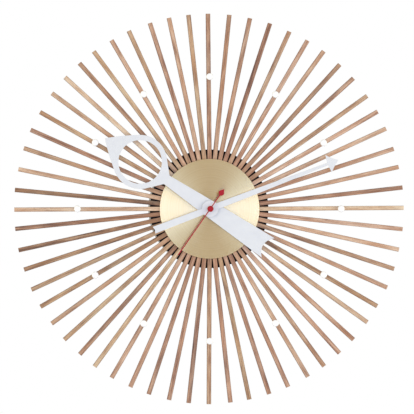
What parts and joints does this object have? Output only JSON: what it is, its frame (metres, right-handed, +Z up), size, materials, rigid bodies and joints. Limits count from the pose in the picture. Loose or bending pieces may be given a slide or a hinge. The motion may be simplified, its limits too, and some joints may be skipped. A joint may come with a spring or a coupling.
{
  "type": "sunburst wall clock",
  "caption": "Round wall clock of thin wooden rays around a brass dial on a black drum, with white hour buttons, hour, minute and second hands and a quartz movement.",
  "frame": {"origin": "on the clock's axis, in the rear cover's outer flat face, which lies on the wall", "axes": "+Y along the axis into the wall, so the dial faces -Y; +Z up towards twelve o'clock; +X to the viewer's right, towards three o'clock"},
  "size_m": [0.47, 0.0568, 0.47],
  "materials": {
    "walnut": "oiled, fine straight grain, tone differs from ray to ray",
    "dial_brass": "circular-brushed, lacquered",
    "nut_brass": "turned and bright",
    "black_steel": "satin black powder coat",
    "white_lacquer": "smooth white",
    "hand_lacquer": "satin light grey-white paint",
    "red_lacquer": "satin red paint",
    "zinc_steel": "zinc plated",
    "case_plastic": "fine moulded texture",
    "knob_plastic": "moulded, fluted grip",
    "gear_plastic": "natural acetal",
    "copper_wire": "enamelled copper winding",
    "board_green": "solder mask",
    "cell_wrap": "plain printed wrap with bright ends"
  },
  "bodies": {
    "clock": {"drum": "black_steel", "rear_cover": "black_steel", "hub_ring": "black_steel", "hanger_plate": "zinc_steel", "hanger_rivet_1": "zinc_steel", "hanger_rivet_2": "zinc_steel", "cover_screw_1": "zinc_steel", "cover_screw_2": "zinc_steel", "cover_screw_3": "zinc_steel", "screw_post_1": "zinc_steel", "screw_post_2": "zinc_steel", "screw_post_3": "zinc_steel", "rays_01": "walnut", "rays_02": "walnut", "rays_03": "walnut", "rays_04": "walnut", "rays_05": "walnut", "rays_06": "walnut", "rays_07": "walnut", "rays_08": "walnut", "rays_09": "walnut", "rays_10": "walnut", "rays_11": "walnut", "rays_12": "walnut", "hour_marker_01": "white_lacquer", "hour_marker_02": "white_lacquer", "hour_marker_03": "white_lacquer", "hour_marker_04": "white_lacquer", "hour_marker_05": "white_lacquer", "hour_marker_06": "white_lacquer", "hour_marker_07": "white_lacquer", "hour_marker_08": "white_lacquer", "hour_marker_09": "white_lacquer", "hour_marker_10": "white_lacquer", "hour_marker_11": "white_lacquer", "hour_marker_12": "white_lacquer", "dial_disc": "dial_brass", "dial_washer": "zinc_steel", "shaft_nut": "nut_brass", "movement_rear_case": "case_plastic", "movement_front_case": "case_plastic", "aa_cell": "cell_wrap", "contact_positive": "zinc_steel", "contact_negative": "zinc_steel", "circuit_board": "board_green", "stator": "zinc_steel", "coil": "copper_wire"},
    "rotor": {"rotor": "gear_plastic"},
    "step_wheel": {"step_wheel": "gear_plastic"},
    "seconds": {"seconds_wheel": "gear_plastic", "second_hand": "red_lacquer", "second_hand_cap": "red_lacquer"},
    "third_wheel": {"third_wheel": "gear_plastic"},
    "minutes": {"centre_wheel": "nut_brass", "minute_hand": "hand_lacquer", "minute_hand_nut": "nut_brass"},
    "minute_wheel": {"minute_wheel": "gear_plastic"},
    "hours": {"hour_wheel": "nut_brass", "hour_hand": "hand_lacquer"},
    "setting_knob": {"setting_knob": "knob_plastic"}
  },
  "joints": [
    {"name": "minute_hand_turn", "type": "hinge", "parent": "clock", "child": "minutes", "pos_m": [0, 0, 0], "axis": [0, 1, 0], "continuous": true},
    {"name": "hour_hand_turn", "type": "hinge", "parent": "clock", "child": "hours", "pos_m": [0, 0, 0], "axis": [0, 1, 0], "continuous": true},
    {"name": "second_hand_turn", "type": "hinge", "parent": "clock", "child": "seconds", "pos_m": [0, 0, 0], "axis": [0, 1, 0], "continuous": true},
    {"name": "third_wheel_turn", "type": "hinge", "parent": "clock", "child": "third_wheel", "pos_m": [0.00656, 0, 0.00781], "axis": [0, 1, 0], "continuous": true},
    {"name": "step_wheel_turn", "type": "hinge", "parent": "clock", "child": "step_wheel", "pos_m": [-0.00742, 0, 0.00742], "axis": [0, 1, 0], "continuous": true},
    {"name": "rotor_turn", "type": "hinge", "parent": "clock", "child": "rotor", "pos_m": [-0.01137, 0, 0.01427], "axis": [0, 1, 0], "continuous": true},
    {"name": "minute_wheel_turn", "type": "hinge", "parent": "clock", "child": "minute_wheel", "pos_m": [0.00739, 0, -0.0013], "axis": [0, 1, 0], "continuous": true},
    {"name": "setting_knob_turn", "type": "hinge", "parent": "clock", "child": "setting_knob", "pos_m": [0.01583, 0, -0.0013], "axis": [0, 1, 0], "continuous": true}
  ],
  "couplings": [
    {"joint": "hour_hand_turn", "follows": "minute_hand_turn", "ratio": 0.083333},
    {"joint": "second_hand_turn", "follows": "minute_hand_turn", "ratio": 60},
    {"joint": "third_wheel_turn", "follows": "minute_hand_turn", "ratio": -8},
    {"joint": "step_wheel_turn", "follows": "minute_hand_turn", "ratio": -360},
    {"joint": "rotor_turn", "follows": "minute_hand_turn", "ratio": 1800},
    {"joint": "minute_wheel_turn", "follows": "minute_hand_turn", "ratio": -0.33333},
    {"joint": "setting_knob_turn", "follows": "minute_hand_turn", "ratio": 0.66667}
  ]
}
